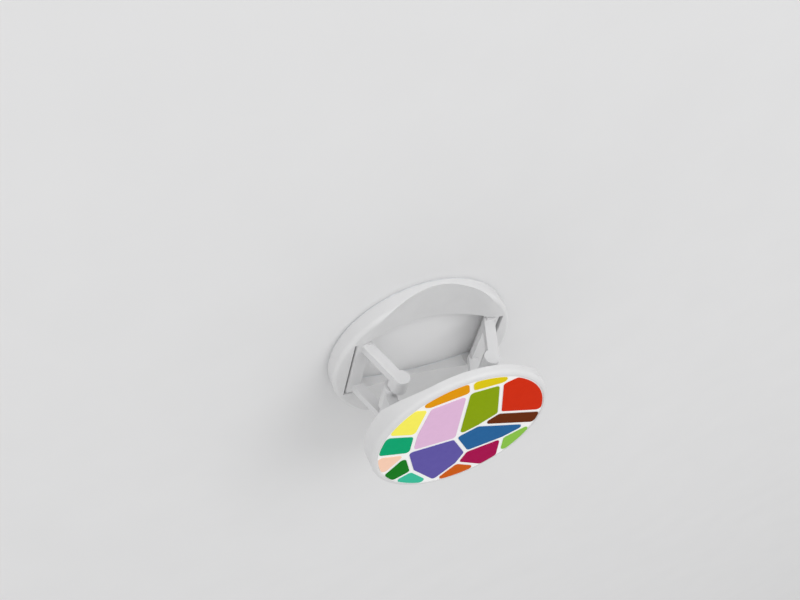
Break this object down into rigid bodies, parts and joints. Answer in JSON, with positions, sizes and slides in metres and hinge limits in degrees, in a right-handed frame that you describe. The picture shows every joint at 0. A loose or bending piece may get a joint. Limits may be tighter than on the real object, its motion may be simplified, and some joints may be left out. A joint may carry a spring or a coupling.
{
  "type": "folding phone grip",
  "caption": "Round phone grip whose printed top plate stands on two folding arms with knees and sinks flat onto its adhesive base when pressed.",
  "frame": {"origin": "centre of the adhesive face, which sticks to the phone", "axes": "+Z points away from the phone through the middle of the top plate, Y runs along the hinge pins, X runs across from the left arm pair to the right arm pair"},
  "size_m": [0.04, 0.04, 0.0238],
  "materials": {
    "pad_foam": "matte",
    "plate_plastic": "satin",
    "arm_plastic": "satin",
    "cover_plastic": "gloss",
    "pin_steel": "satin",
    "ink_red": "gloss",
    "ink_brown": "gloss",
    "ink_blue": "gloss",
    "ink_light_green": "gloss",
    "ink_magenta": "gloss",
    "ink_dark_orange": "gloss",
    "ink_purple": "gloss",
    "ink_mint": "gloss",
    "ink_dark_green": "gloss",
    "ink_peach": "gloss",
    "ink_teal": "gloss",
    "ink_yellow": "gloss",
    "ink_lilac": "gloss",
    "ink_olive_green": "gloss",
    "ink_orange": "gloss",
    "ink_olive_yellow": "gloss"
  },
  "bodies": {
    "base": {"adhesive_pad": "pad_foam", "base": "plate_plastic", "base_pin_left": "pin_steel", "base_pin_right": "pin_steel"},
    "left_lower_arm": {"lower_arm_left": "arm_plastic", "knee_pin_left": "pin_steel"},
    "left_upper_arm": {"upper_arm_left": "arm_plastic"},
    "top": {"top_disc": "plate_plastic", "cover_disc": "cover_plastic", "top_pin_left": "pin_steel", "top_pin_right": "pin_steel", "print_red": "ink_red", "print_brown": "ink_brown", "print_blue": "ink_blue", "print_light_green": "ink_light_green", "print_magenta": "ink_magenta", "print_dark_orange": "ink_dark_orange", "print_purple": "ink_purple", "print_mint": "ink_mint", "print_dark_green": "ink_dark_green", "print_peach": "ink_peach", "print_teal": "ink_teal", "print_yellow": "ink_yellow", "print_lilac": "ink_lilac", "print_olive_green": "ink_olive_green", "print_orange": "ink_orange", "print_olive_yellow": "ink_olive_yellow"},
    "right_lower_arm": {"lower_arm_right": "arm_plastic", "knee_pin_right": "pin_steel"},
    "right_upper_arm": {"upper_arm_right": "arm_plastic"}
  },
  "joints": [
    {"name": "left_base_hinge", "type": "hinge", "parent": "base", "child": "left_lower_arm", "pos_m": [-0.01512, 0, 0.0018], "axis": [0, 1, 0], "range_deg": [0, 54]},
    {"name": "left_knee", "type": "hinge", "parent": "left_lower_arm", "child": "left_upper_arm", "pos_m": [-0.01094, 0, 0.01165], "axis": [0, -1, 0], "range_deg": [0, 108]},
    {"name": "left_top_hinge", "type": "hinge", "parent": "left_upper_arm", "child": "top", "pos_m": [-0.01512, 0, 0.0215], "axis": [0, 1, 0], "range_deg": [0, 54]},
    {"name": "right_base_hinge", "type": "hinge", "parent": "base", "child": "right_lower_arm", "pos_m": [0.01512, 0, 0.0018], "axis": [0, -1, 0], "range_deg": [0, 54]},
    {"name": "right_knee", "type": "hinge", "parent": "right_lower_arm", "child": "right_upper_arm", "pos_m": [0.01094, 0, 0.01165], "axis": [0, 1, 0], "range_deg": [0, 108]}
  ],
  "couplings": [
    {"joint": "left_knee", "follows": "left_base_hinge", "ratio": 2},
    {"joint": "left_top_hinge", "follows": "left_base_hinge", "ratio": 1},
    {"joint": "right_base_hinge", "follows": "left_base_hinge", "ratio": 1},
    {"joint": "right_knee", "follows": "left_base_hinge", "ratio": 2}
  ]
}
